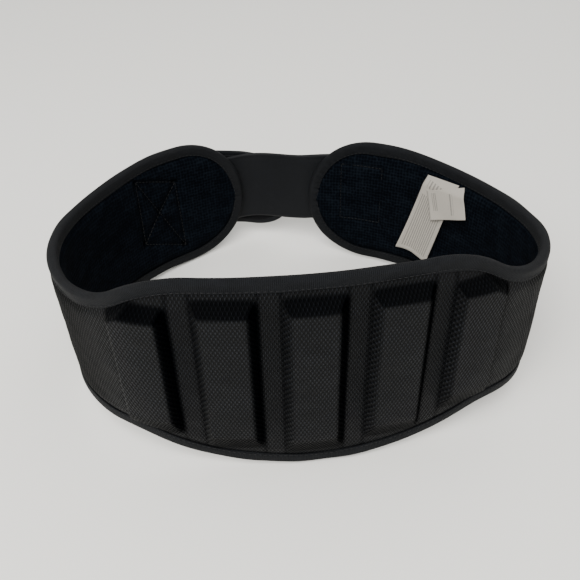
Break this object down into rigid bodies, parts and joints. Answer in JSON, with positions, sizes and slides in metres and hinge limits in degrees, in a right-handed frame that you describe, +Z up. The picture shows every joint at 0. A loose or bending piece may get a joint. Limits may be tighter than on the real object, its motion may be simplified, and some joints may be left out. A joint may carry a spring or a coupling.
{
  "type": "padded contoured waist belt",
  "caption": "Padded contoured waist belt with a tall back panel, low rounded wings and a hook-and-loop closure, fastened in a ring.",
  "frame": {"origin": "centre of the bounding box at the floor on which the belt stands", "axes": "+X to the wing that carries the strap and the labels, +Y from the tall back panel to the front closure, +Z up"},
  "size_m": [0.3344, 0.2744, 0.1551],
  "materials": {
    "foam": "matt closed-cell foam",
    "shell_mesh": "matt nylon mesh",
    "lining_mesh": "soft matt spacer mesh",
    "binding_tape": "matt grosgrain tape",
    "thread": "polyester thread",
    "webbing": "smooth satin webbing",
    "loop_pile": "matt looped pile",
    "hook_tape": "stiff hook tape",
    "label_cloth": "satin label ribbon"
  },
  "bodies": {
    "belt": {"foam_core": "foam", "pad_centre": "foam", "pad_inner_right": "foam", "pad_inner_left": "foam", "pad_outer_right": "foam", "pad_outer_left": "foam", "outer_shell": "shell_mesh", "inner_lining": "lining_mesh", "binding_upper": "binding_tape", "binding_lower": "binding_tape", "binding_stitching": "thread", "strap": "webbing", "loop_patch": "loop_pile", "tail_anchor": "webbing", "tail_stitching": "thread", "strap_stitching": "thread"},
    "tail": {"strap_tail": "webbing", "hook_patch": "hook_tape"},
    "labels": {"care_label": "label_cloth", "size_label": "label_cloth"}
  },
  "joints": [
    {"name": "tail_peel", "type": "hinge", "parent": "belt", "child": "tail", "pos_m": [-0.0837, 0.11118, 0.06218], "axis": [0.1439, 0.2468, 0.9583], "range_deg": [0, 150]},
    {"name": "label_lift", "type": "hinge", "parent": "belt", "child": "labels", "pos_m": [0.12087, 0.04567, 0.09533], "axis": [-0.6295, 0.7718, -0.09], "range_deg": [0, 80]}
  ]
}
